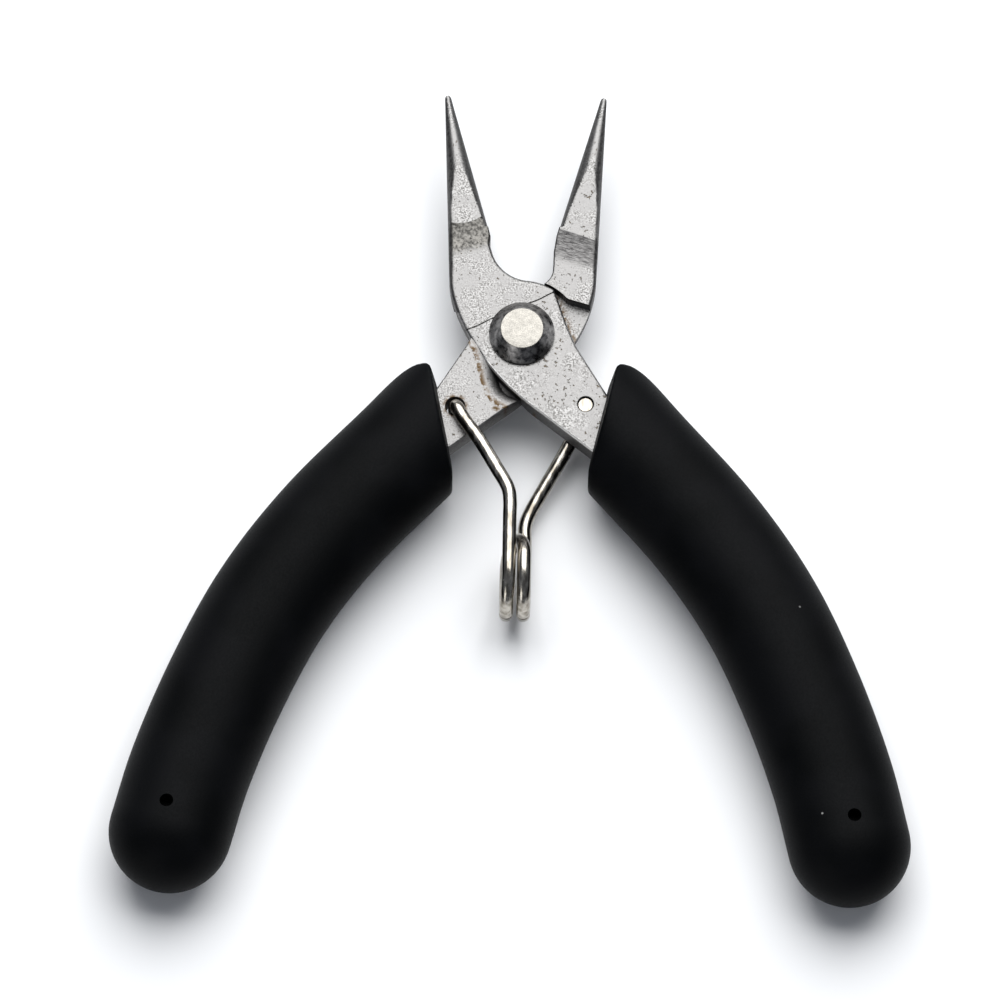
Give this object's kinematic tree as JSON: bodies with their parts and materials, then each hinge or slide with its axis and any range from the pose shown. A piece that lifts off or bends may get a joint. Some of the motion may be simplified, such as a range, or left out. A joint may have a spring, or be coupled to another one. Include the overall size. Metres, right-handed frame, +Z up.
{
  "type": "miniature needle nose pliers",
  "caption": "Miniature needle nose pliers with smooth conical jaws, a riveted lap joint, a coiled wire return spring and curved black moulded grips.",
  "frame": {"origin": "centre of the tool's box, on the surface it lies on", "axes": "+Z up out of the front face, along the rivet; +Y towards the jaw tips; +X to the right across the handles"},
  "size_m": [0.0802, 0.0854, 0.0106],
  "materials": {
    "forged_steel": "satin ground steel with small pits",
    "rivet_steel": "bright faced top, darker turned cone",
    "spring_wire": "bright drawn wire",
    "grip_vinyl": "matte moulded soft PVC"
  },
  "bodies": {
    "back_half": {"back_half": "forged_steel", "pivot_rivet": "rivet_steel", "left_grip": "grip_vinyl"},
    "front_half": {"front_half": "forged_steel", "right_grip": "grip_vinyl"},
    "spring_left": {"spring_left_leg": "spring_wire"},
    "spring_right": {"spring_right_leg": "spring_wire"}
  },
  "joints": [
    {"name": "jaw_pivot", "type": "hinge", "parent": "back_half", "child": "front_half", "pos_m": [0.00034, 0.01681, 0.0053], "axis": [0, 0, 1], "range_deg": [-32.2, 2], "stiffness_Nm_per_rad": 0.3},
    {"name": "spring_hook", "type": "hinge", "parent": "back_half", "child": "spring_left", "pos_m": [-0.00616, 0.00948, 0.0053], "axis": [0, 0, 1], "range_deg": [-26, 2.5]},
    {"name": "spring_flex", "type": "hinge", "parent": "spring_left", "child": "spring_right", "pos_m": [0.00034, -0.00489, 0.0053], "axis": [0, 0, 1], "range_deg": [-2, 19]}
  ],
  "couplings": [
    {"joint": "spring_hook", "follows": "jaw_pivot", "ratio": 0.774},
    {"joint": "spring_flex", "follows": "jaw_pivot", "ratio": -0.548}
  ]
}
